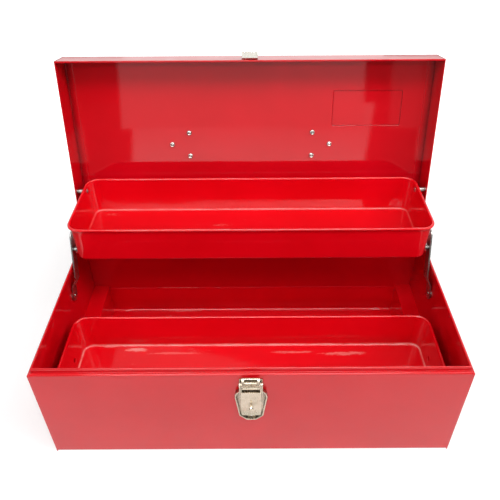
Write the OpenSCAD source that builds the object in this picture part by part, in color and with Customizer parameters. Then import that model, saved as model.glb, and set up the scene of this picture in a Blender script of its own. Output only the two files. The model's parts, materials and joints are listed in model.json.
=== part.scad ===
// Cantilever tool box in painted sheet steel. The lid carries an upper tray on a pair of equal
// links, so the tray stays level and swings back as the lid opens. A second tray sits below it.
// Millimetres. X is the width, Y runs from front to back and Z is up. The origin is the centre
// of the underside, and the lid stands open.

/* [Box] */
// Width over the two end panels
box_w = 440; // [400:1:480]
// Depth from the front wall to the back wall
box_d = 220; // [214:1:250]
// Height of the shoulder that the closed lid meets
box_h = 134.5; // [125:0.5:150]
// Thickness of the painted sheet
sheet = 1; // [0.8:0.1:1.2]
// How far the rim is set in from the wall
rim_step = 3.4; // [3:0.1:3.8]
// Height of the rim above the shoulder
rim_h = 5.4; // [4:0.1:6]
// Thickness of the folded rim
rim_t = 1.8; // [1.4:0.1:2]
// Width of the ledges that carry the lower tray
ledge_w = 20.5; // [18:0.5:24]

/* [Lid] */
// Depth of the lid
lid_h = 36; // [32:0.5:44]
// Gap between the closed lid and the shoulder
lid_gap = 0.6; // [0.3:0.1:1]
// Angle that the lid opens
lid_open = 101.2; // [96:0.2:104]
// Width of the raised plain field on the lid
field_w = 87; // [60:1:110]
// Height of the raised plain field on the lid
field_h = 46.5; // [30:0.5:60]
// Height of the field above the lid
field_rise = 1; // [0.5:0.1:1.5]

/* [Hinge] */
// Radius of the knuckles
knuckle_r = 2.2; // [2:0.1:3]
// Radius of the hinge pin
hinge_pin_r = 1.1; // [0.9:0.1:1.3]
// Width of each leaf
leaf_w = 20; // [14:1:26]
// Thickness of each leaf
leaf_t = 0.9; // [0.7:0.1:1.1]
// Number of knuckles along the hinge, an odd number
knuckles = 15; // [9:2:21]

/* [Trays] */
// Space from the rim of a tray to the outside of the box
tray_side = 9.5; // [9:0.1:11]
// Depth of a tray over its rim
tray_d = 110.4; // [96:0.2:120]
// Height of a tray
tray_h = 47.5; // [42:0.5:52]
// Thickness of the tray's sheet
tray_t = 0.9; // [0.7:0.1:1.1]
// Radius of the tray's corners over the rim
tray_corner = 16; // [14:0.5:20]
// Radius of the bend between floor and wall
tray_bend = 3.6; // [3:0.1:5]
// Lean of the tray's walls in degrees
tray_draft = 2; // [1:0.25:3]
// Radius of the rolled rim
bead_r = 1.7; // [1.5:0.1:2]
// Height between the closed upper tray and the lower tray
stack_gap = 6.5; // [4:0.5:9]
// Gap between the lower tray and the front rim
front_gap = 0.5; // [0.5:0.1:2]
// Gap between the upper tray and the open lid
lid_tray_gap = 3.3; // [2.5:0.1:6]

/* [Linkage] */
// Distance between the two pivots of a link
link_len = 60.5; // [56:0.5:64]
// Angle of the links above the horizontal with the lid open
link_angle = 71; // [68:0.5:74]
// Width of an arm
arm_w = 13.5; // [12:0.5:16]
// Thickness of an arm
arm_t = 1.6; // [1.4:0.1:2]
// Gap between an arm and the rim of the tray
arm_gap = 0.9; // [0.6:0.1:1.2]
// Length of an arm beyond its tray pivot
arm_tail = 16; // [8:1:20]
// Radius of the rivets that the links turn on
pivot_r = 2.2; // [1.8:0.1:2.5]
// Radius of the spacers on those rivets
spacer_r = 2.8; // [2.6:0.1:3.2]
// Thickness of the washer behind each arm
washer_t = 1; // [0.8:0.1:1.2]
// Space between a running pin and its hole
run = 0.06; // [0.03:0.01:0.09]

/* [Latch] */
// Height of the lever's pivot below the shoulder
latch_drop = 11.1; // [8:0.1:14]
// Half the width of the lever
lever_hw = 10.2; // [9:0.1:12]
// Length of the lever's cover
lever_len = 34.5; // [30:0.5:40]
// Distance of the hooked link's pin below the lever's pivot
throw = 4.2; // [3.8:0.1:4.4]
// Length of the hooked link
hook_len = 27.2; // [24:0.2:30]
// Angle that the loose link leans out
hook_lean = 25; // [24:0.5:28]
// Radius of the eye for a padlock
eye_r = 2.4; // [2:0.1:2.6]

/* [Handle] */
// Distance between the legs of the handle
handle_w = 164; // [150:1:180]
// Distance of the grip from the handle's pivot
handle_reach = 40; // [34:1:52]
// Radius of the handle's rod
rod_r = 3; // [2.5:0.1:3.5]
// Radius of the grip
grip_r = 8; // [7:0.5:10]
// Length of the grip
grip_len = 104; // [80:1:110]

/* [Hidden] */
$fn = 64;

red = "#d8101c";
zinc = "#b9b6ae";
nickel = "#cfc8b4";
black = "#26262a";

// Box
front = -box_d / 2;
back = box_d / 2;
side = box_w / 2;
rim_top = box_h + rim_h;
rim_in = rim_step + rim_t;            // from the outside of a wall to the inside of its rim
bend = 1;                             // usual bend radius at the middle of the sheet
corner_bend = 2.5;                    // bend between the walls and the bottom
liner_bend = 5;                       // bend of the liner's front and back
liner_lap = 4;                        // how far the ledges hang over the liner's sides
corner_zone = 2;                      // height below the shoulder where the rims are mitred

// Hinge: the leaves lie inside the walls, tangent to the knuckles
hinge_y = back - sheet + knuckle_r - leaf_t;
hinge_z = box_h;
knuckle_gap = 0.4;
hinge_len = box_w - 20;
knuckle_len = hinge_len / knuckles;
back_top = hinge_z - knuckle_r - knuckle_gap;

// Lid, drawn closed and then turned open
lid_low = box_h + lid_gap;
lid_top = box_h + lid_h;
lean = lid_open - 90;
lid_bend = 3;
hem_h = 6;
flange_w = 8;                         // flange of a lid end, under the lid's top
flange_short = 6;                     // how much sooner it stops than the corner

// Parallel links. The lid's pivot and the arm's pivot turn through the same vector.
link = link_len * [cos(link_angle), sin(link_angle)];
link_shut = link_len * [cos(link_angle + lid_open), sin(link_angle + lid_open)];
pin_head_r = 3.2;
pin_head_h = 1.4;
head_lap = 0.4;                       // how far a shank runs into its head
play = 0.05;                          // between pieces that lie side by side and move
pin_y = hinge_y + link[0];
pin_z = hinge_z + link[1];
pin_y_shut = hinge_y + link_shut[0];
pin_z_shut = hinge_z + link_shut[1];

// Upper tray: its rim clears the pin's spacer and its back clears the open lid
pin_below_bead = 0.6;
upper_z = pin_z + spacer_r + pin_below_bead + 2 * bead_r - tray_h;
upper_back = hinge_y
    + (lid_h - sheet - lid_tray_gap + (upper_z - hinge_z) * sin(lean)) / cos(lean);
wall_rise = tray_h - bead_r - tray_bend;
bend_x = tray_corner - 2 * bead_r + tray_t
    - (tray_bend + wall_rise * sin(tray_draft)) / cos(tray_draft);
foot_in = tray_corner - bend_x - tray_bend;      // from the rim in to the foot of the wall
upper_y = upper_back + foot_in - tray_d / 2;
tray_w = box_w - 2 * tray_side;

// Arm rivet: in the flat of the tray's end wall, above the bend
rivet_head_r = 2.8;
rivet_y = upper_y - tray_d / 2 + tray_corner + 1;
rivet_z = upper_z + tray_bend + rivet_head_r + 0.3;
pivot_y = rivet_y - link[0];
pivot_z = rivet_z - link[1];
arm_in = tray_w / 2 + arm_gap;
arm_foot = side - sheet - washer_t - play - arm_t;

// Lower tray: under the closed upper tray
upper_drop = link[1] - link_shut[1];
ledge_z = upper_z - upper_drop - stack_gap - tray_h;
lower_y = front + rim_in + front_gap + tray_d / 2;
hole_y = 14.5;                        // spare hole in the lower tray's ends
hole_drop = 31;
hole_r = 2.8;

// Latch, measured out from the front wall and down from the lever's pivot
latch_z = box_h - latch_drop;
latch_out = 4;
cover_out = 7;
cover_t = 1;
cover_top = 7.5;
cheek_t = 1;
cheek_r = 2.6;
ear_t = 1.2;
ear_gap = 0.2;
ear_r = 3.4;
plate_t = 1.2;
plate_up = 5;
eye_out = latch_out + 6.4;
eye_down = 29.2;
eye_wall = 1.8;
eye_ring = eye_r + 1.5;
stub_r = 1.5;
link_pin_r = 1.25;
hook_hw = lever_hw - cheek_t - 0.4;
hook_in = 3.4;
hook_t = 1.2;
shut_lean = 15.7;
strike_lip_z = latch_z - throw + (hook_len - hook_t) * cos(shut_lean) - 0.15;
strike_out = 9.2;
strike_hw = 9;
rivet_r = 1.6;
latch_rivet_spots = [[-6, -20.5], [6, -20.5], [0, -54]];
strike_rivet_spots = [-5, 5];

// Handle, on the outside of the lid
handle_s = 112;                       // distance of its pivot from the hinge
rod_up = rod_r + 3.5;                 // height of its pivot above the lid
rod_bend = 8;
axle_r = rod_r - 0.5;
bracket_t = 1.5;
bracket_x = handle_w / 2 + 6;
bracket_pts = [[-11, -15], [11, 0], [-11, 15]];
bracket_r = 6.5;
lug_r = 5;
lug_t = 2;

// ---- Shared shapes ----

function unit(v) = v / norm(v);
function cross_z(v) = [v[1], -v[0]];
function turn(a, b) = atan2(a[0] * b[1] - a[1] * b[0], a[0] * b[0] + a[1] * b[1]);

// Part of a ring, counter-clockwise from +X
module sector(outer, inner, angle) {
    reach = 2 * outer;
    intersection() {
        difference() {
            circle(outer);
            circle(inner);
        }
        polygon([[0, 0], [reach, 0], reach * [cos(angle / 2), sin(angle / 2)],
                 reach * [cos(angle), sin(angle)]]);
    }
}

// Section of a bent sheet: its middle line turns with radius r at each inner point
module bent(pts, t, r) {
    n = len(pts);
    dir = [for (i = [0 : n - 2]) unit(pts[i + 1] - pts[i])];
    bends = [for (i = [0 : n - 1]) (i == 0 || i == n - 1) ? 0 : turn(dir[i - 1], dir[i])];
    cut = [for (b = bends) r * tan(abs(b) / 2)];
    for (i = [0 : n - 2])
        translate(pts[i] + dir[i] * cut[i])
            rotate(atan2(dir[i][1], dir[i][0]))
                translate([0, -t / 2])
                    square([norm(pts[i + 1] - pts[i]) - cut[i] - cut[i + 1], t]);
    for (i = [1 : n - 2]) {
        hand = sign(bends[i]);
        heading = atan2(dir[i - 1][1], dir[i - 1][0]);
        translate(pts[i] - dir[i - 1] * cut[i] + hand * r * [-dir[i - 1][1], dir[i - 1][0]])
            rotate(heading - 90 * hand + min(0, bends[i]))
                sector(r + t / 2, r - t / 2, abs(bends[i]));
    }
}

// Convex outline, counter-clockwise, grown by r with true arcs at its corners
module round_poly(pts, r) {
    n = len(pts);
    out = [for (i = [0 : n - 1]) unit(cross_z(pts[(i + 1) % n] - pts[i]))];
    polygon([for (i = [0 : n - 1], k = [n - 1, 0]) pts[i] + r * out[(i + k) % n]]);
    for (p = pts)
        translate(p)
            circle(r);
}

module round_rect(w, h, r) {
    x = w / 2 - r;
    y = h / 2 - r;
    round_poly([[-x, -y], [x, -y], [x, y], [-x, y]], r);
}

// A YZ section between two values of X
module along_x(x0, x1) {
    translate([x0, 0, 0])
        rotate([90, 0, 90])
            linear_extrude(x1 - x0)
                children();
}

// An XZ section between two values of Y
module along_y(y0, y1) {
    translate([0, y1, 0])
        rotate([90, 0, 0])
            linear_extrude(y1 - y0)
                children();
}

// A round bar or hole along X
module rod_x(x0, x1, y, z, r) {
    translate([x0, y, z])
        rotate([0, 90, 0])
            cylinder(h = x1 - x0, r = r);
}

// Domed head that rises along +Z
module dome(r, h) {
    ball = (r * r + h * h) / (2 * h);
    rotate_extrude()
        intersection() {
            translate([0, h - ball])
                circle(ball);
            square([r, h]);
        }
}

// Rivet along +Z from 0 to grip, with a dome above and a plain head below
module rivet(grip, shank, head, head_h) {
    translate([0, 0, grip])
        dome(head, head_h);
    cylinder(h = grip, r = shank);
    translate([0, 0, -head_h])
        cylinder(h = head_h, r = head * 0.85);
}

// The far side of the box is the near side mirrored
module on_side(s) {
    mirror([s < 0 ? 1 : 0, 0, 0])
        children();
}

// Turns what is drawn for the closed lid to the open lid
module opened() {
    translate([0, hinge_y, hinge_z])
        rotate([-lid_open, 0, 0])
            translate([0, -hinge_y, -hinge_z])
                children();
}

// ---- Box ----

// Corner of the rim where the end panel takes over from the front
module end_mitre(front_part) {
    wide = 20;
    for (s = [-1, 1])
        on_side(s)
            translate([side, front, box_h - corner_zone])
                linear_extrude(rim_h + 2 * corner_zone)
                    polygon([[0, 0], [-wide, wide],
                             front_part ? [wide, wide] : [-wide, -wide],
                             front_part ? [wide, 0] : [0, -wide]]);
}

// Stepped rim at the top of a wall. x runs in from the outside of the wall.
module rim_section(low) {
    lip_x = rim_step + rim_t / 2;
    bent([[sheet / 2, low], [sheet / 2, box_h - sheet / 2], [lip_x, box_h - sheet / 2],
          [lip_x, rim_top - rim_t / 2]], sheet, bend);
    translate([rim_step, box_h])
        square([rim_t, rim_h - rim_t / 2]);
    translate([lip_x, rim_top - rim_t / 2])
        circle(rim_t / 2);
}

module body_wrap() {
    split = box_h - corner_zone;
    color(red)
        difference() {
            union() {
                along_x(sheet - side, side - sheet)
                    bent([[front + sheet / 2, split], [front + sheet / 2, sheet / 2],
                          [back - sheet / 2, sheet / 2], [back - sheet / 2, back_top]],
                         sheet, corner_bend);
                difference() {
                    along_x(-side, side)
                        translate([front, 0])
                            rim_section(split);
                    end_mitre(true);
                }
            }
            for (spot = latch_rivet_spots)
                translate([spot[0], front - sheet, latch_z + spot[1]])
                    rotate([-90, 0, 0])
                        cylinder(h = 3 * sheet, r = rivet_r);
        }
}

// Drawn for the right end
module end_panel() {
    split = box_h - corner_zone;
    color(red)
        difference() {
            union() {
                translate([side - sheet, front, 0])
                    cube([sheet, box_d, split]);
                difference() {
                    along_y(front, hinge_y - knuckle_r - 1)
                        translate([side, 0])
                            mirror([1, 0])
                                rim_section(split);
                    end_mitre(false);
                }
            }
            rod_x(side - 2 * sheet, side + sheet, pivot_y, pivot_z, pivot_r);
        }
}

// Outline of a trough with round lower corners
module trough(w, low, high, r) {
    intersection() {
        translate([-w / 2, low])
            square([w, high - low]);
        translate([0, low + w / 2])
            round_rect(w, w, r);
    }
}

// Solid block of the liner, with its faces moved in by a distance
module liner_block(inward, high) {
    low = sheet + inward;
    ledge_x = side - sheet - ledge_w;
    intersection() {
        along_y(front + low, back - low)
            trough(2 * (ledge_x + sheet - inward), low, high, bend + sheet / 2 - inward);
        along_x(-side, side)
            trough(box_d - 2 * low, low, high, liner_bend + sheet / 2 - inward);
    }
}

// Inner liner: a trough on the bottom, with ledges for the lower tray along its sides
module floor_liner() {
    leg_x = side - sheet - ledge_w + sheet / 2;
    top = ledge_z - sheet / 2;
    color(red)
        union() {
            difference() {
                liner_block(0, ledge_z - liner_lap);
                liner_block(sheet, ledge_z);
            }
            for (s = [-1, 1])
                on_side(s)
                    along_y(front + sheet, back - sheet)
                        bent([[leg_x, top - 2 * liner_lap], [leg_x, top], [side - sheet, top]],
                             sheet, bend);
        }
}

// Knuckles of one leaf: every second one, starting with the first or the second
module knuckle_row(first) {
    for (i = [first : 2 : knuckles - 1]) {
        x = -hinge_len / 2 + i * knuckle_len + knuckle_gap / 2;
        along_x(x, x + knuckle_len - knuckle_gap)
            translate([hinge_y, hinge_z])
                circle(knuckle_r);
    }
}

// Leaf that hangs from the hinge line, notched round the other leaf's knuckles
module hinge_leaf(first, bore) {
    difference() {
        union() {
            knuckle_row(first);
            translate([-hinge_len / 2, hinge_y - knuckle_r, hinge_z - leaf_w])
                cube([hinge_len, leaf_t, leaf_w - knuckle_r - knuckle_gap]);
            for (i = [first : 2 : knuckles - 1])
                translate([-hinge_len / 2 + i * knuckle_len + knuckle_gap / 2,
                           hinge_y - knuckle_r, hinge_z - leaf_w])
                    cube([knuckle_len - knuckle_gap, leaf_t, leaf_w]);
        }
        rod_x(-side, side, hinge_y, hinge_z, bore);
    }
}

module hinge_leaf_body() {
    color(zinc)
        hinge_leaf(0, hinge_pin_r);
}

module hinge_leaf_lid() {
    color(red)
        opened()
            translate([0, 0, hinge_z])
                mirror([0, 0, 1])
                    translate([0, 0, -hinge_z])
                        hinge_leaf(1, hinge_pin_r + run);
}

module hinge_pin() {
    color(zinc)
        rod_x(-hinge_len / 2, hinge_len / 2, hinge_y, hinge_z, hinge_pin_r);
}

// ---- Lid ----

module lid_wrap() {
    field_s = 133.5;                  // from the hinge to the near edge of the field
    field_x = 143;
    edge = sheet + 0.4;
    color(red)
        opened()
            difference() {
                union() {
                    along_x(sheet - side, side - sheet)
                        bent([[front + sheet / 2, lid_low], [front + sheet / 2, lid_top - sheet / 2],
                              [back - sheet / 2, lid_top - sheet / 2],
                              [back - sheet / 2, hinge_z + knuckle_r + knuckle_gap]],
                             sheet, lid_bend);
                    translate([sheet - side, front + sheet / 2, lid_low])
                        cube([box_w - 2 * sheet, 1.5 * sheet, hem_h]);
                    translate([field_x, hinge_y - field_s - field_h / 2, lid_top - sheet])
                        linear_extrude(sheet + field_rise)
                            round_rect(field_w, field_h, 3);
                }
                translate([field_x, hinge_y - field_s - field_h / 2, lid_top - 2 * sheet])
                    linear_extrude(sheet + field_rise)
                        round_rect(field_w - 2 * edge, field_h - 2 * edge, 2);
                for (x = strike_rivet_spots)
                    translate([x, front - sheet, strike_rivet_z])
                        rotate([-90, 0, 0])
                            cylinder(h = 3 * sheet, r = rivet_r);
                bracket_holes(lid_top - 2 * sheet);
            }
}

// Drawn for the right end, with the lid's own corners
module lid_end() {
    r = lid_bend + sheet / 2;
    color(red)
        opened()
            difference() {
                union() {
                    along_x(side - sheet, side)
                        intersection() {
                            translate([front, lid_low])
                                square([box_d, lid_top - lid_low]);
                            translate([0, lid_top - box_d / 2])
                                round_rect(box_d, box_d, r);
                        }
                    translate([side - sheet - flange_w, front + sheet + flange_short,
                               lid_top - 2 * sheet])
                        cube([flange_w + sheet / 2, box_d - 2 * (sheet + flange_short), sheet]);
                }
                rod_x(side - 2 * sheet, side + sheet, pin_y_shut, pin_z_shut, pivot_r + run);
            }
}

strike_rivet_z = strike_lip_z + 11;

// Hook on the lid's front, open upwards with the lid shut
module lid_strike() {
    foot = strike_lip_z - 3.8;
    color(nickel)
        opened()
            difference() {
                translate([0, front, 0])
                    mirror([0, 1, 0])
                        along_x(-strike_hw, strike_hw)
                            bent([[hook_t / 2, strike_rivet_z + 5], [hook_t / 2, foot],
                                  [strike_out, foot], [strike_out, strike_lip_z]],
                                 hook_t, 1.2);
                for (x = strike_rivet_spots)
                    translate([x, front - 2 * hook_t, strike_rivet_z])
                        rotate([-90, 0, 0])
                            cylinder(h = 3 * hook_t, r = rivet_r);
            }
}

module strike_rivets() {
    color(zinc)
        opened()
            for (x = strike_rivet_spots)
                translate([x, front + sheet, strike_rivet_z])
                    rotate([90, 0, 0])
                        rivet(sheet + hook_t, rivet_r, 2.6, 1);
}

// ---- Handle ----

module bracket_spots() {
    for (p = bracket_pts)
        translate(p)
            children();
}

// Rivet holes of both brackets, through the lid or through a bracket
module bracket_holes(z) {
    for (s = [-1, 1])
        on_side(s)
            translate([bracket_x, hinge_y - handle_s, z])
                bracket_spots()
                    cylinder(h = 4 * sheet + bracket_t, r = rivet_r);
}

// Drawn for the right: a riveted plate with a lug that stands up from it
module handle_bracket() {
    color(zinc)
        opened()
            difference() {
                union() {
                    translate([bracket_x, hinge_y - handle_s, lid_top])
                        linear_extrude(bracket_t)
                            round_poly(bracket_pts, bracket_r);
                    along_x(bracket_x - lug_t, bracket_x)
                        translate([hinge_y - handle_s, lid_top]) {
                            polygon([[-lug_r - 3, 0], [lug_r + 3, 0], [lug_r, rod_up], [-lug_r, rod_up]]);
                            translate([0, rod_up])
                                circle(lug_r);
                        }
                }
                rod_x(bracket_x - 2 * lug_t, bracket_x + lug_t, hinge_y - handle_s,
                      lid_top + rod_up, axle_r + run);
                bracket_holes(lid_top - sheet);
            }
}

module handle_rivets() {
    color(zinc)
        opened()
            for (s = [-1, 1])
                on_side(s)
                    translate([bracket_x, hinge_y - handle_s, lid_top + bracket_t])
                        mirror([0, 0, 1])
                            bracket_spots()
                                rivet(sheet + bracket_t, rivet_r, 2.8, 1.5);
}

// Puts the handle at its pivot, hanging plumb with the lid open. +Z here is away from the pivot.
module handle_place() {
    opened()
        translate([0, hinge_y - handle_s, lid_top + rod_up])
            rotate([lean - 90, 0, 0])
                children();
}

// Bent rod with a riveted-over end in each bracket
module handle_bail() {
    leg_x = handle_w / 2;
    color(zinc)
        handle_place()
            for (s = [-1, 1])
                on_side(s) {
                    rod_x(bracket_x + 0.3, bracket_x + 1.7, 0, 0, axle_r + 0.9);
                    rod_x(leg_x, bracket_x + 1, 0, 0, axle_r);
                    translate([leg_x, 0, 0])
                        sphere(rod_r);
                    translate([leg_x, 0, 0])
                        cylinder(h = handle_reach - rod_bend, r = rod_r);
                    translate([leg_x - rod_bend, 0, handle_reach - rod_bend])
                        rotate([90, 0, 0])
                            rotate_extrude(angle = 90)
                                translate([rod_bend, 0])
                                    circle(rod_r);
                    rod_x(-rod_bend, leg_x - rod_bend, 0, handle_reach, rod_r);
                }
}

// Moulded grip: a barrel with tapered ends and two shallow grooves at each
module handle_grip() {
    half = grip_len / 2;
    color(black)
        handle_place()
            translate([0, 0, handle_reach])
                rotate([0, 90, 0])
                    rotate_extrude()
                        difference() {
                            polygon([[rod_r, -half], [grip_r - 2, -half], [grip_r, 20 - half],
                                     [grip_r, half - 20], [grip_r - 2, half], [rod_r, half]]);
                            for (y = [-1, 1], k = [0, 1])
                                translate([grip_r + 0.4, y * (half - 24 - 5 * k)])
                                    circle(1);
                        }
}

// ---- Trays ----

// Section through a tray's wall, measured out from the centre of its corner
module tray_section() {
    out = [cos(tray_draft), -sin(tray_draft)];
    centre = [bend_x, tray_bend];
    top = tray_h - bead_r;
    inner = tray_corner - 2 * bead_r;
    square([bend_x, tray_t]);
    translate(centre)
        rotate(-90)
            sector(tray_bend, tray_bend - tray_t, 90 - tray_draft);
    polygon([centre + tray_bend * out, [inner + tray_t, top], [inner, top],
             centre + (tray_bend - tray_t) * out]);
    translate([tray_corner - bead_r, top]) {
        sector(bead_r, bead_r - tray_t, 180);
        rotate(-90)
            sector(bead_r, bead_r - tray_t, 90);
    }
}

// Pressed tray, centred, with its underside at Z = 0
module tray() {
    x = tray_w / 2 - tray_corner;
    y = tray_d / 2 - tray_corner;
    translate([-x, -y, 0])
        cube([2 * x, 2 * y, tray_t]);
    for (sx = [0, 1])
        mirror([sx, 0, 0]) {
            along_y(-y, y)
                translate([x, 0])
                    tray_section();
            for (sy = [0, 1])
                mirror([0, sy, 0])
                    translate([x, y, 0])
                        rotate_extrude(angle = 90)
                            tray_section();
        }
    for (sy = [0, 1])
        mirror([0, sy, 0])
            along_x(-x, x)
                translate([y, 0])
                    tray_section();
}

module upper_tray() {
    color(red)
        difference() {
            translate([0, upper_y, upper_z])
                tray();
            rod_x(-side, side, pin_y, pin_z, pivot_r);
            rod_x(-side, side, rivet_y, rivet_z, pivot_r);
        }
}

module lower_tray() {
    color(red)
        difference() {
            translate([0, lower_y, ledge_z])
                tray();
            rod_x(-side, side, lower_y + hole_y, ledge_z + tray_h - hole_drop, hole_r);
        }
}

// ---- Linkage ----

// Inside and outside of the tray's end wall at a height above its floor
function wall_out(h) = tray_w / 2 - 2 * bead_r + tray_t - (tray_h - bead_r - h) * tan(tray_draft);
function wall_in(h) = wall_out(h) - tray_t / cos(tray_draft);

// Pin between the tray and the lid's end
module tray_pin() {
    h = pin_z - upper_z;
    shoulder = side - sheet - play;
    inner = wall_in(h - pin_head_r);
    color(zinc) {
        translate([inner, pin_y, pin_z])
            rotate([0, -90, 0])
                dome(pin_head_r, pin_head_h);
        rod_x(inner - head_lap, side + play + head_lap, pin_y, pin_z, pivot_r);
        rod_x(wall_out(h + spacer_r), shoulder, pin_y, pin_z, spacer_r);
        translate([side + play, pin_y, pin_z])
            rotate([0, 90, 0])
                dome(pin_head_r, pin_head_h);
    }
}

// Rivet between the tray and the arm
module arm_rivet() {
    h = rivet_z - upper_z;
    inner = wall_in(h - rivet_head_r);
    color(zinc) {
        translate([inner, rivet_y, rivet_z])
            rotate([0, -90, 0])
                dome(rivet_head_r, pin_head_h);
        rod_x(inner - head_lap, arm_in + arm_t + play + head_lap, rivet_y, rivet_z, pivot_r);
        rod_x(wall_out(h + spacer_r), arm_in - play, rivet_y, rivet_z, spacer_r);
        translate([arm_in + arm_t + play, rivet_y, rivet_z])
            rotate([0, 90, 0])
                dome(pin_head_r, pin_head_h);
    }
}

// Rivet between the arm and the end panel
module arm_pivot() {
    inner = arm_foot - play;
    color(zinc) {
        translate([inner, pivot_y, pivot_z])
            rotate([0, -90, 0])
                dome(pin_head_r, pin_head_h);
        rod_x(inner - head_lap, side + head_lap, pivot_y, pivot_z, pivot_r);
        translate([side, pivot_y, pivot_z])
            rotate([0, 90, 0])
                dome(pin_head_r, pin_head_h);
    }
}

module pivot_washers() {
    color(zinc)
        for (s = [-1, 1])
            on_side(s)
                difference() {
                    rod_x(side - sheet - washer_t, side - sheet, pivot_y, pivot_z, arm_w / 2);
                    rod_x(side - 3 * washer_t, side, pivot_y, pivot_z, pivot_r);
                }
}

// Cranked flat arm, drawn for the right. Its own +Y runs from the pivot to the rivet.
module arm() {
    end = link_len + arm_tail + arm_w;
    crank = arm_foot - arm_in;
    low = 12;
    high = low + 2 * crank;
    shift = arm_t * tan(atan2(crank, high - low) / 2);
    color(zinc)
        translate([0, pivot_y, pivot_z])
            rotate([link_angle, 0, 0])
                difference() {
                    intersection() {
                        translate([arm_in, 0, -arm_w])
                            linear_extrude(2 * arm_w)
                                polygon([[crank, -arm_w], [crank, low], [0, high], [0, end],
                                         [arm_t, end], [arm_t, high + shift],
                                         [crank + arm_t, low + shift], [crank + arm_t, -arm_w]]);
                        along_x(arm_in - 1, side)
                            round_poly([[0, 0], [link_len + arm_tail, 0]], arm_w / 2);
                    }
                    rod_x(0, side, 0, 0, pivot_r + run);
                    rod_x(0, side, link_len, 0, pivot_r + run);
                }
}

// ---- Latch ----

// A section measured out from the front wall and up from the lever's pivot
module latch_along_x(x0, x1) {
    translate([0, front, latch_z])
        mirror([0, 1, 0])
            along_x(x0, x1)
                children();
}

// An outline on the front wall, out0 to out1 in front of it
module latch_on_wall(out0, out1) {
    translate([0, 0, latch_z])
        along_y(front - out1, front - out0)
            children();
}

latch_outline = [[-13.3, -20], [-9.4, -50], [-3.4, -55.6], [3.4, -55.6], [9.4, -50], [13.3, -20],
                 [12.4, -15.6], [10, -13.1], [-10, -13.1], [-12.4, -15.6]];
latch_edge = 3.2;

module latch_base() {
    ear_x = lever_hw + ear_gap;
    color(nickel)
        difference() {
            union() {
                latch_on_wall(0, plate_t) {
                    round_poly(latch_outline, latch_edge);
                    translate([-ear_x - ear_t, -20])
                        square([2 * (ear_x + ear_t), 20 + plate_up]);
                }
                latch_on_wall(0, latch_out)
                    difference() {
                        round_poly(latch_outline, latch_edge);
                        round_poly(latch_outline, latch_edge - plate_t);
                        translate([-ear_x - ear_t / 2, -30])
                            square([2 * ear_x + ear_t, 22]);
                    }
                for (s = [-1, 1])
                    on_side(s)
                        latch_along_x(ear_x, ear_x + ear_t) {
                            polygon([[0, -19], [4.2, -19], [latch_out + ear_r, -7.4],
                                     [latch_out + ear_r, 0], [latch_out, ear_r - 0.6],
                                     [0, ear_r - 0.6]]);
                            translate([latch_out, 0])
                                circle(ear_r);
                        }
            }
            latch_along_x(-side, side)
                translate([latch_out, 0])
                    circle(stub_r);
            for (spot = latch_rivet_spots)
                translate([spot[0], front - 2 * plate_t, latch_z + spot[1]])
                    rotate([-90, 0, 0])
                        cylinder(h = 3 * plate_t, r = rivet_r);
        }
}

module latch_rivets() {
    color(zinc)
        for (spot = latch_rivet_spots)
            translate([spot[0], front + sheet, latch_z + spot[1]])
                rotate([90, 0, 0])
                    rivet(sheet + plate_t, rivet_r, 2.6, 1.1);
}

// Stub rivets that carry the lever in the ears of the base
module latch_pivots() {
    inner = lever_hw - cheek_t;
    outer = lever_hw + ear_gap + ear_t;
    color(nickel)
        for (s = [-1, 1])
            on_side(s) {
                latch_along_x(inner, outer)
                    translate([latch_out, 0])
                        circle(stub_r);
                translate([outer, front - latch_out, latch_z])
                    rotate([0, 90, 0])
                        dome(2.6, 0.9);
            }
}

module padlock_staple() {
    half = eye_wall / 2;
    color(nickel)
        latch_along_x(-half, half)
            difference() {
                union() {
                    translate([eye_out, -eye_down])
                        circle(eye_ring);
                    translate([plate_t, -eye_down - eye_ring])
                        square([eye_out - plate_t, 2 * eye_ring]);
                }
                translate([eye_out, -eye_down])
                    circle(eye_r);
            }
}

module latch_lever() {
    low = cover_top + lever_len;
    mid = cover_out + cover_t / 2;
    slot_hw = 2.2;
    slot_top = eye_down - eye_ring - 0.8;
    slot_low = norm([eye_out - latch_out, eye_down + eye_ring]) + 0.9;
    color(nickel)
        difference() {
            union() {
                intersection() {
                    latch_along_x(-lever_hw, lever_hw)
                        bent([[mid, -cover_top], [mid, 3 - low], [mid + 2.2, -low]], cover_t, 2);
                    latch_on_wall(0, 3 * cover_out)
                        translate([0, -cover_top - lever_len])
                            round_poly([[2 - lever_hw, 2], [lever_hw - 2, 2],
                                        [lever_hw - 2, lever_len], [2 - lever_hw, lever_len]], 2);
                }
                for (s = [-1, 1])
                    on_side(s)
                        latch_along_x(lever_hw - cheek_t, lever_hw) {
                            polygon([[latch_out - cheek_r, 0], [latch_out - cheek_r, -6],
                                     [4.5, -low + 6], [mid, -low + 4], [mid, -cover_top],
                                     [latch_out + cheek_r, -cover_top + 3],
                                     [latch_out + cheek_r, 0]]);
                            translate([latch_out, 0])
                                circle(cheek_r);
                        }
            }
            latch_along_x(-side, side)
                translate([latch_out, 0])
                    circle(stub_r + run);
            latch_along_x(-side, side)
                translate([latch_out, -throw])
                    circle(link_pin_r);
            latch_on_wall(latch_out, 4 * cover_out) {
                translate([-slot_hw, -slot_low])
                    square([2 * slot_hw, slot_low - slot_top - slot_hw]);
                translate([0, -slot_top - slot_hw])
                    circle(slot_hw);
            }
        }
}

module link_pin() {
    color(nickel)
        latch_along_x(-lever_hw, lever_hw)
            translate([latch_out, -throw])
                circle(link_pin_r);
}

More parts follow.
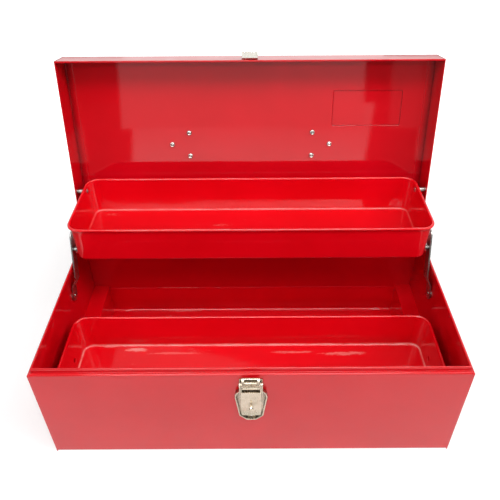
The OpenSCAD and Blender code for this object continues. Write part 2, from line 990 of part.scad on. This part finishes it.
// Hooked link: a barrel on the pin, side flanges, and an inward hook at the top. The window
// runs from the front over the bend.
module latch_link() {
    barrel_r = 2.2;
    window_hw = 6.3;
    mid = hook_len - hook_t / 2;
    color(nickel)
        translate([0, front - latch_out, latch_z - throw])
            rotate([hook_lean, 0, 0])
                difference() {
                    union() {
                        mirror([0, 1, 0])
                            along_x(-hook_hw, hook_hw) {
                                circle(barrel_r);
                                bent([[0, 0], [0, mid], [-hook_in, mid], [-hook_in, mid - 3.2]],
                                     hook_t, 1.2);
                            }
                        for (s = [-1, 1])
                            on_side(s)
                                mirror([0, 1, 0])
                                    along_x(hook_hw - 0.9, hook_hw)
                                        polygon([[0, 8], [2.4, 10], [2.4, hook_len - 3],
                                                 [0, hook_len - 1.5]]);
                    }
                    rod_x(-side, side, 0, 0, link_pin_r + run);
                    translate([-window_hw, -hook_t, hook_len - 6.4])
                        cube([2 * window_hw, hook_t + 2, 3 * hook_t + 6.4]);
                }
}

body_wrap();
on_side(-1) end_panel();  // end_panel_left
end_panel();  // end_panel_right
floor_liner();
hinge_leaf_body();
hinge_pin();
on_side(-1) arm_pivot();  // arm_pivot_left
arm_pivot();  // arm_pivot_right
pivot_washers();
latch_base();
latch_rivets();
latch_pivots();
padlock_staple();
latch_lever();
link_pin();
latch_link();
lid_wrap();
on_side(-1) lid_end();  // lid_end_left
lid_end();  // lid_end_right
hinge_leaf_lid();
lid_strike();
strike_rivets();
on_side(-1) handle_bracket();  // handle_bracket_left
handle_bracket();  // handle_bracket_right
handle_rivets();
handle_bail();
handle_grip();
upper_tray();
on_side(-1) tray_pin();  // tray_pin_left
tray_pin();  // tray_pin_right
on_side(-1) arm_rivet();  // arm_rivet_left
arm_rivet();  // arm_rivet_right
on_side(-1) arm();  // arm_left
arm();  // arm_right
lower_tray();
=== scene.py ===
import json
import math

import bmesh
import bpy
from mathutils import Matrix, Vector


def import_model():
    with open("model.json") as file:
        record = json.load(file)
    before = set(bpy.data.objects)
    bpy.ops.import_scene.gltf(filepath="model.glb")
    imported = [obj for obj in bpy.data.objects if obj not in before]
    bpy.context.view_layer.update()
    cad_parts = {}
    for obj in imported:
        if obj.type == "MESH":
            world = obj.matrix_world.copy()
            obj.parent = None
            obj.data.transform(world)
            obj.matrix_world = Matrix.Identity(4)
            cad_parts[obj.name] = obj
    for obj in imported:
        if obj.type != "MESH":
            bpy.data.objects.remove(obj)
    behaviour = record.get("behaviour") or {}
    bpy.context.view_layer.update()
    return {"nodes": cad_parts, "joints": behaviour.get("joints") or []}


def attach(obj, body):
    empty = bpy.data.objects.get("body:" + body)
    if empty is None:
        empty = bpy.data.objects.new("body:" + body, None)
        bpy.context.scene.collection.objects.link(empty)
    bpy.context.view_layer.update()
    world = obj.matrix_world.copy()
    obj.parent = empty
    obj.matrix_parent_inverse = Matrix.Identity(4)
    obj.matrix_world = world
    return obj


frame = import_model()
NODES = frame["nodes"]
JOINTS = {joint["name"]: joint for joint in frame["joints"]}
scene = bpy.context.scene

MM = 0.001
WHITE = (1, 1, 1, 1)
# The colour sockets of a Mix node: its two inputs and its result.
MIX_A, MIX_B, MIX_RESULT = 6, 7, 2


# ---- Materials: every one is made of nodes, in the metres of the frame ----

def add_node(tree, kind, ins=(), **settings):
    """A shader node. Each input is a constant or the output of another node."""
    n = tree.nodes.new("ShaderNode" + kind)
    for key, value in settings.items():
        setattr(n, key, value)
    for key, value in dict(ins).items():
        if isinstance(value, bpy.types.NodeSocket):
            tree.links.new(value, n.inputs[key])
        else:
            n.inputs[key].default_value = value
    return n


class Mat:
    """A new material with its shader, and short names for the nodes that finish it."""

    def __init__(self, name, shader="BsdfPrincipled", **sockets):
        self.m = bpy.data.materials.new(name)
        self.m.use_nodes = True
        self.t = self.m.node_tree
        self.t.nodes.clear()
        self.out = self.node("OutputMaterial")
        self.s = self.node(shader)
        self.t.links.new(self.s.outputs[0], self.out.inputs[0])
        self.xyz = self.node("TexCoord").outputs["Object"]
        for k, v in sockets.items():
            self.s.inputs[k.replace("_", " ")].default_value = v

    def node(self, kind, ins=(), **settings):
        return add_node(self.t, kind, ins, **settings)

    def noise(self, scale, detail=2, rough=0.5, stretch=None):
        at = self.xyz
        if stretch:
            at = self.node("Mapping", {"Vector": at, "Scale": stretch}).outputs[0]
        ins = {"Vector": at, "Scale": scale, "Detail": detail, "Roughness": rough}
        return self.node("TexNoise", ins).outputs["Fac"]

    def map(self, value, a, b, c, d, smooth=False):
        """The value carried from the range a to b into the range c to d."""
        return self.node("MapRange", {0: value, 1: a, 2: b, 3: c, 4: d},
                         interpolation_type="SMOOTHSTEP" if smooth else "LINEAR").outputs[0]

    def math(self, op, a, b=0.0):
        return self.node("Math", {0: a, 1: b}, operation=op).outputs[0]

    def grey(self, level):
        return self.node("CombineColor", dict.fromkeys(range(3), level)).outputs[0]

    def mix(self, fac, a, b):
        return self.node("Mix", {0: fac, MIX_A: a, MIX_B: b}, data_type="RGBA").outputs[MIX_RESULT]

    def darker(self, col, by):
        return self.node("Mix", {0: 1.0, MIX_A: col, MIX_B: self.grey(by)}, data_type="RGBA",
                         blend_type="MULTIPLY").outputs[MIX_RESULT]

    def bump(self, height, strength, distance, normal=None):
        ins = {"Height": height, "Strength": strength, "Distance": distance}
        if normal is not None:
            ins["Normal"] = normal
        return self.node("Bump", ins).outputs[0]

    def edge(self, radius):
        return self.node("Bevel", {"Radius": radius}, samples=6).outputs[0]

    def painted_shade(self, distance, low, high, least, own=False):
        """Painted shade from ambient occlusion: 1 on open faces, down to the least value in folds and gaps.
        With own, only this piece counts.
        """
        ao = self.node("AmbientOcclusion", {"Distance": distance}, samples=6, only_local=own).outputs["AO"]
        return self.map(ao, low, high, least, 1.0, True)

    def use(self, **links):
        for k, v in links.items():
            self.t.links.new(v, self.s.inputs[k.replace("_", " ")])
        return self.m


# Pale pink of rubbed paint, also used for the painted highlight on the bends.
RUBBED_AND_HIGHLIGHT = (0.78, 0.30, 0.27, 1)
# Marks on the lower tray's floor and the inner floor: x, y, half length, half width, strength.
MARKS = [
    (-0.140, -0.0065, 0.015, 0.0035, 0.9),
    (-0.172, 0.0, 0.012, 0.003, 0.5),
    (0.050, -0.011, 0.03, 0.002, 0.4),
    (0.112, -0.0135, 0.03, 0.003, 0.5),
    (-0.09, -0.012, 0.04, 0.002, 0.35),
    (-0.100, 0.1065, 0.035, 0.004, 0.5),
]
MARKS_TOP = 0.08
# Painted highlights: pale lines along the lower bends of the trays, where their fillets catch the light.
# Height, strength.
BEND_HIGHLIGHTS = [(0.0510, 0.75), (0.1540, 0.25)]


def enamel(name, red, deep, fold_shade_reach=0.012, least=0.85, inside=False):
    """Baked enamel on pressed sheet: slight orange peel and faint waves in the sheet. On the outer sheets
    the colour is darkened by painted shade in the folds. Inside the trays and on the inner floor it is rubbed
    pale, with a painted highlight along the lower bends."""
    m = Mat(name, Coat_Weight=1.0, Coat_Roughness=0.03, Coat_IOR=1.45, IOR=1.45, Specular_IOR_Level=0.06)
    col = m.mix(m.map(m.noise(9, 3, 0.6), 0.3, 0.7, 0, 1, True), red, deep)
    rough = m.map(m.noise(38, 2, 0.5), 0.3, 0.7, 0.28, 0.40)
    if inside:
        wear_and_highlight = rubs_and_highlights(m)
        col = m.mix(wear_and_highlight, col, RUBBED_AND_HIGHLIGHT)
        rough = m.math("ADD", rough, m.math("MULTIPLY", wear_and_highlight, 0.3))
        m.use(Coat_Weight=m.map(wear_and_highlight, 0, 1, 1, 0.3))
    else:
        # Painted shade: ambient occlusion darkens the colour in the folds.
        col = m.darker(col, m.painted_shade(fold_shade_reach, 0.47, 0.85, least, True))
    waves, peel = m.noise(7, 1, 0.4), m.noise(520, 2, 0.5)
    wavy = m.bump(waves, 0.10, 4 * MM, m.edge((0.5 if inside else 1) * MM))
    paint = m.bump(peel, 0.035, 0.4 * MM, wavy)
    coat = m.bump(peel, 0.02, 0.4 * MM, wavy)
    return m.use(Base_Color=col, Roughness=rough, Normal=paint, Coat_Normal=coat)


def rubs_and_highlights(m):
    """Pale rubbing on the floors where tools have slid and the marks, and a painted highlight along the lower
    bends.
    """
    x, y, z = m.node("SeparateXYZ", {0: m.xyz}).outputs
    up = m.node("SeparateXYZ", {0: m.node("NewGeometry").outputs["Normal"]}).outputs[2]
    rub = m.map(m.noise(26, 8, 0.72, (0.55, 1.5, 1)), 0.60, 0.74, 0, 1, True)
    fine = m.map(m.noise(420, 4, 0.7, (0.25, 1.6, 1)), 0.42, 0.62, 0, 1)
    wear_and_highlight = m.math("MULTIPLY", m.math("MULTIPLY", rub, fine), 0.8)
    low = m.map(z, MARKS_TOP, MARKS_TOP + 0.02, 1, 0)
    for cx, cy, rx, ry, strength in MARKS:
        dx = m.math("DIVIDE", m.math("SUBTRACT", x, cx), rx)
        dy = m.math("DIVIDE", m.math("SUBTRACT", y, cy), ry)
        far = m.math("ADD", m.math("MULTIPLY", dx, dx), m.math("MULTIPLY", dy, dy))
        far = m.math("ADD", far, m.map(fine, 0, 1, 0.5, -0.3))
        mark = m.math("MULTIPLY", m.map(far, 0.2, 1.2, strength, 0, True), low)
        wear_and_highlight = m.math("MAXIMUM", wear_and_highlight, mark)
    wear_and_highlight = m.math("MULTIPLY", wear_and_highlight, m.map(up, 0.85, 0.98, 0, 1))
    # Painted highlight: patchy pale lines on the fillets of the lower bends.
    bend = m.math("MULTIPLY", m.map(up, 0.15, 0.4, 0, 1), m.map(up, 0.8, 0.95, 1, 0))
    patchy = m.map(m.noise(45, 4, 0.65, (0.5, 1, 1)), 0.38, 0.60, 0.15, 1)
    for height, strength in BEND_HIGHLIGHTS:
        away = m.math("ABSOLUTE", m.math("SUBTRACT", z, height))
        near = m.map(away, 2.4 * MM, 3.2 * MM, strength, 0)
        wear_and_highlight = m.math("MAXIMUM", wear_and_highlight, m.math("MULTIPLY", m.math("MULTIPLY", bend, patchy), near))
    return wear_and_highlight


def plated(name, light, dark, rough, grain, shade_reach=4 * MM, least=0.1):
    """Plated steel with drawn grain and dull patches, darkened by painted shade in crevices and between
    parts.
    """
    m = Mat(name, Metallic=1.0)
    patch = m.noise(60, 6, 0.65)
    col = m.mix(m.map(patch, 0.35, 0.68, 0, 1, True), light, dark)
    spots = m.map(m.noise(700, 3, 0.6), 0.62, 0.75, 0, 0.55, True)
    col = m.mix(spots, col, tuple(0.45 * c for c in dark[:3]) + (1,))
    # Painted shade: ambient occlusion darkens the colour in crevices and gaps.
    col = m.darker(col, m.painted_shade(shade_reach, 0.15, 0.85, least))
    lines = m.noise(900, 3, 0.6, grain)
    dull = m.map(patch, 0.3, 0.7, rough * 0.8, rough * 1.25)
    drawn = m.map(lines, 0.3, 0.7, -0.05, 0.05)
    nrm = m.bump(lines, 0.12, 0.2 * MM, m.edge(0.3 * MM))
    nrm = m.bump(m.noise(150, 2), 0.06, 0.5 * MM, nrm)
    return m.use(Base_Color=col, Roughness=m.math("ADD", dull, drawn), Normal=nrm)


def plastic(name, light, dark):
    """Moulded plastic with a fine grain and handling shine."""
    m = Mat(name, IOR=1.46)
    col = m.mix(m.map(m.noise(50, 4), 0.3, 0.7, 0, 1), dark, light)
    rough = m.map(m.noise(24, 3), 0.35, 0.65, 0.34, 0.55)
    nrm = m.bump(m.noise(1500, 2), 0.25, 0.2 * MM, m.edge(0.4 * MM))
    return m.use(Base_Color=col, Roughness=rough, Normal=nrm)


NICKEL = {"light": (0.62, 0.54, 0.43, 1), "dark": (0.48, 0.41, 0.31, 1), "rough": 0.26, "grain": (1, 1, 0.06)}

outside = enamel("red_enamel_box", (0.62, 0.0006, 0.006, 1), (0.57, 0.0005, 0.005, 1))
# The lid's enamel is the box's paint made darker, as painted shade for the dimmer light inside the lid, with
# deep painted shade 13 mm into its folds and under its flanges.
lid = enamel("red_enamel_lid_painted_shade", (0.57, 0.0006, 0.007, 1), (0.52, 0.0005, 0.005, 1), 13 * MM, 0.35)
inside = enamel("red_enamel_inside", (0.70, 0.0008, 0.007, 1), (0.64, 0.0006, 0.005, 1), inside=True)
zinc = plated("zinc_plate", (0.50, 0.49, 0.47, 1), (0.32, 0.31, 0.29, 1), 0.30, (1, 1, 0.05))
pins = plated("pin_steel", (0.80, 0.78, 0.74, 1), (0.60, 0.58, 0.54, 1), 0.20, (1, 1, 1), shade_reach=7 * MM)
nickel = plated("nickel_plate", **NICKEL)
# The nickel with deep painted shade, nearly black in the latch's windows and in the valleys beside its cover.
deep_shaded_nickel = plated("nickel_deep_painted_shade", **NICKEL, shade_reach=6.5 * MM, least=0.05)
# A lighter copy of the nickel for the strike: painted light that stands for the white the strike reflects.
bright = plated("nickel_painted_light", (0.90, 0.87, 0.80, 1), (0.78, 0.75, 0.66, 1), 0.20, (1, 1, 0.3))
black = plastic("black_plastic", (0.03, 0.03, 0.032, 1), (0.012, 0.012, 0.014, 1))

FINISH = {
    outside: ["body_wrap", "end_panel_left", "end_panel_right"],
    lid: ["lid_wrap", "lid_end_left", "lid_end_right", "hinge_leaf_lid"],
    inside: ["floor_liner", "upper_tray", "lower_tray"],
    zinc: ["arm_left", "arm_right", "hinge_leaf_body", "hinge_pin", "pivot_washers", "handle_bracket_left",
           "handle_bracket_right", "handle_bail", "tray_pin_left", "tray_pin_right", "arm_rivet_left",
           "arm_rivet_right"],
    pins: ["arm_pivot_left", "arm_pivot_right", "latch_rivets", "strike_rivets", "handle_rivets"],
    nickel: ["latch_pivots", "latch_lever", "link_pin", "latch_link"],
    deep_shaded_nickel: ["latch_base", "padlock_staple"],
    bright: ["lid_strike"],
    black: ["handle_grip"],
}
for mat, names in FINISH.items():
    for name in names:
        NODES[name].data.materials.clear()
        NODES[name].data.materials.append(mat)


# ---- Rolled ends of the rivets ----

HINGE = Vector(JOINTS["lid_hinge"]["pos_m"])
LID_OPEN = math.radians(JOINTS["lid_hinge"]["range_deg"][1])
LID_TURN = Matrix.Translation(HINGE) @ Matrix.Rotation(-LID_OPEN, 4, "X") @ Matrix.Translation(-HINGE)

# One rolled end, from its foot to the dimple in the middle: radius and height.
ROLL = [(3.3, 0), (3.25, 0.8), (2.7, 1.8), (2.0, 2.0), (1.35, 1.3), (1.05, 1.1), (0.7, 1.75), (0, 2.0)]

# Handle rivets, three to each bracket, under the top of the shut lid.
BRACKET_X = 88
LID_INNER = (-1.7, 169.5)
BRACKET_RIVETS = [(-11, -15), (11, 0), (-11, 15)]

# Latch rivets, by the height of the lever's pivot, inside the front wall.
FRONT_INNER = -109
LATCH_Z = 123.4
LATCH_RIVETS = [(-6, -20.5), (6, -20.5), (0, -54)]


def at_mm(x, y, z):
    return Matrix.Translation(Vector((x, y, z)) * MM)


def smooth_line(points, n=6):
    """A finer line through the points, kept on one side of the axis."""
    out = []
    for i in range(len(points) - 1):
        p0, p1, p2, p3 = (Vector(points[max(0, min(len(points) - 1, i + k))]) for k in (-1, 0, 1, 2))
        for k in range(n):
            t = k / n
            out.append(0.5 * (2 * p1 + (p2 - p0) * t + (2 * p0 - 5 * p1 + 4 * p2 - p3) * t * t
                              + (3 * p1 - p0 - 3 * p2 + p3) * t ** 3))
    return [(abs(x), z) for x, z in out] + [tuple(points[-1])]


def lathe(name, body, mat, profile, places, steps=40):
    """One piece from a turned profile (radius, height), set at each place. Every place is a matrix."""
    turn = [2 * math.pi * i / steps for i in range(steps)]
    bm = bmesh.new()
    for place in places:
        rings = []
        for r, z in profile:
            ring = [Vector((r * math.cos(t), r * math.sin(t), z)) for t in turn] if r else [Vector((0, 0, z))]
            rings.append([bm.verts.new(place @ point) for point in ring])
        for low, high in zip(rings, rings[1:]):
            for i in range(steps):
                j = (i + 1) % steps
                quad = [low[i], low[j], high[j % len(high)], high[i % len(high)]]
                bm.faces.new(list(dict.fromkeys(quad)))
    bmesh.ops.recalc_face_normals(bm, faces=bm.faces)
    me = bpy.data.meshes.new(name)
    bm.to_mesh(me)
    bm.free()
    me.materials.append(mat)
    for f in me.polygons:
        f.use_smooth = True
    ob = bpy.data.objects.new(name, me)
    scene.collection.objects.link(ob)
    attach(ob, body)


def clenches():
    """Rolled ends of the rivets, on the inside of the lid and of the front wall."""
    roll = smooth_line([(r * MM, z * MM) for r, z in ROLL])
    down = Matrix.Rotation(math.pi, 4, "X")
    back = Matrix.Rotation(-math.pi / 2, 4, "X")
    top = [LID_TURN @ at_mm(side * (BRACKET_X + x), LID_INNER[0] + y, LID_INNER[1]) @ down
           for side in (-1, 1) for x, y in BRACKET_RIVETS]
    front = [at_mm(x, FRONT_INNER, LATCH_Z + z) @ back for x, z in LATCH_RIVETS]
    lathe("handle_rivet_clenches", "lid", pins, roll, top)
    lathe("latch_rivet_clenches", "box", pins, roll, front)


clenches()


# ---- Studio ----

# The white sheet under the box, as the gloss of the lid shows it: it widens away from the box.
SHEET_MIDDLE = -0.02
SHEET_HALF = 0.16
SHEET_WIDENS = 0.22
ROUND_BOX = 0.30
# What is left out of the floor's level in gloss outside the sheet.
DIMMED = 0.93
FLOOR_SHADE = 0.62
# How bright the seen floor glows at the box and, from GLOW_TO on, away from it.
GLOW_NEAR, GLOW_FAR = 0.40, 1.0
GLOW_FROM, GLOW_TO = 0.32, 0.8
FLOOR_HALF = 8

# The world's level in diffuse light, and in gloss: low in front, full behind and overhead.
WORLD_DIFFUSE = 0.25
WORLD_GLOSS_FRONT, WORLD_GLOSS_FULL = 0.04, 1.0

CAMERA_AT = (0.0058, -0.4478, 0.5731)
CAMERA_YAW, CAMERA_PITCH, CAMERA_ROLL = -0.09, 37.49, -0.38
CAMERA_LENS = 39.35
CAMERA_SHIFT = (-0.0104, -0.0419)


def near_box(m):
    """1 on the white sheet and close to the box, 0 on the dim floor outside them."""
    x, y, _ = m.node("SeparateXYZ", {0: m.xyz}).outputs
    x, y = m.math("ABSOLUTE", m.math("ADD", x, -SHEET_MIDDLE)), m.math("ABSOLUTE", y)
    across = m.math("SUBTRACT", x, m.math("MULTIPLY", y, SHEET_WIDENS))
    sheet = m.map(across, SHEET_HALF, SHEET_HALF + 0.03, 1, 0, True)
    close = m.map(m.math("MAXIMUM", x, y), ROUND_BOX, ROUND_BOX + 0.06, 1, 0, True)
    return m.math("MAXIMUM", sheet, close)


def floor():
    """Matt white floor that keeps the shadow. What is seen of it is lifted to white, and past the
    sheet it is dim in gloss."""
    m = Mat("floor_white", "BsdfDiffuse")
    ray = m.node("LightPath").outputs
    seen = m.math("MAXIMUM", ray["Is Camera Ray"], ray["Is Glossy Ray"])
    seen = m.math("MAXIMUM", seen, ray["Is Transmission Ray"])
    dim = m.math("MULTIPLY", ray["Is Glossy Ray"], m.map(near_box(m), 0, 1, DIMMED, 0))
    keep = m.math("SUBTRACT", 1.0, dim)
    m.t.links.new(m.grey(m.math("MULTIPLY", keep, FLOOR_SHADE)), m.s.inputs[0])
    away = m.node("VectorMath", {0: m.xyz}, operation="LENGTH").outputs["Value"]
    level = m.map(away, GLOW_FROM, GLOW_TO, GLOW_NEAR, GLOW_FAR, True)
    glow = m.node("Emission", {1: m.math("MULTIPLY", m.math("MULTIPLY", seen, keep), level)})
    both = m.node("AddShader", {0: m.s.outputs[0], 1: glow.outputs[0]})
    m.t.links.new(both.outputs[0], m.out.inputs[0])
    plane("floor", (-FLOOR_HALF, -FLOOR_HALF, 0), (2 * FLOOR_HALF, 0, 0), (0, 2 * FLOOR_HALF, 0), m.m)


def plane(name, fold_shade_reach, u, v, mat):
    c, u, v = Vector(fold_shade_reach), Vector(u), Vector(v)
    me = bpy.data.meshes.new(name)
    me.from_pydata([c, c + u, c + u + v, c + v], [], [(0, 1, 2, 3)])
    me.materials.append(mat)
    ob = bpy.data.objects.new(name, me)
    scene.collection.objects.link(ob)
    return ob


def card(name, fold_shade_reach, u, v, level):
    """A lit card that shows only in gloss."""
    m = Mat(name, "Emission", Color=WHITE, Strength=level)
    ob = plane(name, fold_shade_reach, u, v, m.m)
    ob.visible_camera = ob.visible_diffuse = ob.visible_shadow = False


def world():
    """White where it is seen. In gloss it is white behind and overhead and dim in front."""
    w = bpy.data.worlds.new("studio")
    scene.world = w
    w.use_nodes = True
    t = w.node_tree
    t.nodes.clear()
    ray = add_node(t, "LightPath").outputs
    _, y, z = add_node(t, "SeparateXYZ", {0: add_node(t, "TexCoord").outputs["Generated"]}).outputs

    def blend(value, a, b, c, d, kind="LINEAR"):
        return add_node(t, "MapRange", {0: value, 1: a, 2: b, 3: c, 4: d}, interpolation_type=kind).outputs[0]

    def larger(a, b):
        return add_node(t, "Math", {0: a, 1: b}, operation="MAXIMUM").outputs[0]

    overhead = blend(z, 0.45, 0.68, 0, 1, "SMOOTHSTEP")
    behind = blend(y, -0.05, 0.3, 0, 1, "SMOOTHSTEP")
    gloss = blend(larger(overhead, behind), 0, 1, WORLD_GLOSS_FRONT, WORLD_GLOSS_FULL)
    lit = blend(ray["Is Glossy Ray"], 0, 1, WORLD_DIFFUSE, gloss)
    strength = blend(larger(ray["Is Camera Ray"], ray["Is Transmission Ray"]), 0, 1, lit, 1.0)
    sky = add_node(t, "Background", {0: WHITE, 1: strength})
    t.links.new(sky.outputs[0], add_node(t, "OutputWorld").inputs[0])


def area(name, place, target, size, watts):
    li = bpy.data.lights.new(name, "AREA")
    li.shape = "RECTANGLE"
    li.size, li.size_y = size
    li.energy = watts
    ob = bpy.data.objects.new(name, li)
    ob.location = place
    ob.rotation_euler = (Vector(target) - Vector(place)).to_track_quat("-Z", "Y").to_euler()
    scene.collection.objects.link(ob)


def camera():
    cam = bpy.data.cameras.new("camera")
    cam.sensor_width = 36
    cam.lens = CAMERA_LENS
    cam.shift_x, cam.shift_y = CAMERA_SHIFT
    cam.clip_start = 0.01
    yaw, pitch, roll = (math.radians(v) for v in (CAMERA_YAW, CAMERA_PITCH, CAMERA_ROLL))
    fwd = Vector((math.sin(yaw) * math.cos(pitch), math.cos(yaw) * math.cos(pitch), -math.sin(pitch)))
    right = fwd.cross(Vector((0, 0, 1))).normalized()
    up = right.cross(fwd)
    turn = Matrix((right, up, -fwd)).transposed() @ Matrix.Rotation(roll, 3, "Z")
    ob = bpy.data.objects.new("camera", cam)
    ob.matrix_world = Matrix.Translation(CAMERA_AT) @ turn.to_4x4()
    scene.collection.objects.link(ob)
    scene.camera = ob


camera()
floor()
card("front_card", (-0.93, -3, 0), (1.69, 0, 0), (0, 0, 2.0), 1.0)
card("side_card", (0.95, -3, 0), (0.2, 0, 0), (0, 0, 0.6), 0.3)
card("high_strip", (-0.8, -0.30, 2.1), (1.5, 0, 0), (0, 0.2, 0.02), 18)
world()
area("key", (0.25, -0.78, 1.75), (0, 0, 0.1), (2.0, 0.45), 23)
area("front", (-0.1, -2.0, 1.5), (0, 0, 0.2), (1.5, 0.16), 12)
area("left", (-1.3, -0.5, 1.3), (0, 0, 0.1), (0.5, 1.0), 8)
area("right", (1.4, -0.4, 1.2), (0, 0, 0.1), (0.5, 0.8), 14)
area("back", (0.2, 1.7, 1.2), (0, 0, 0.15), (1.2, 0.5), 8)
scene.view_settings.view_transform = "Standard"
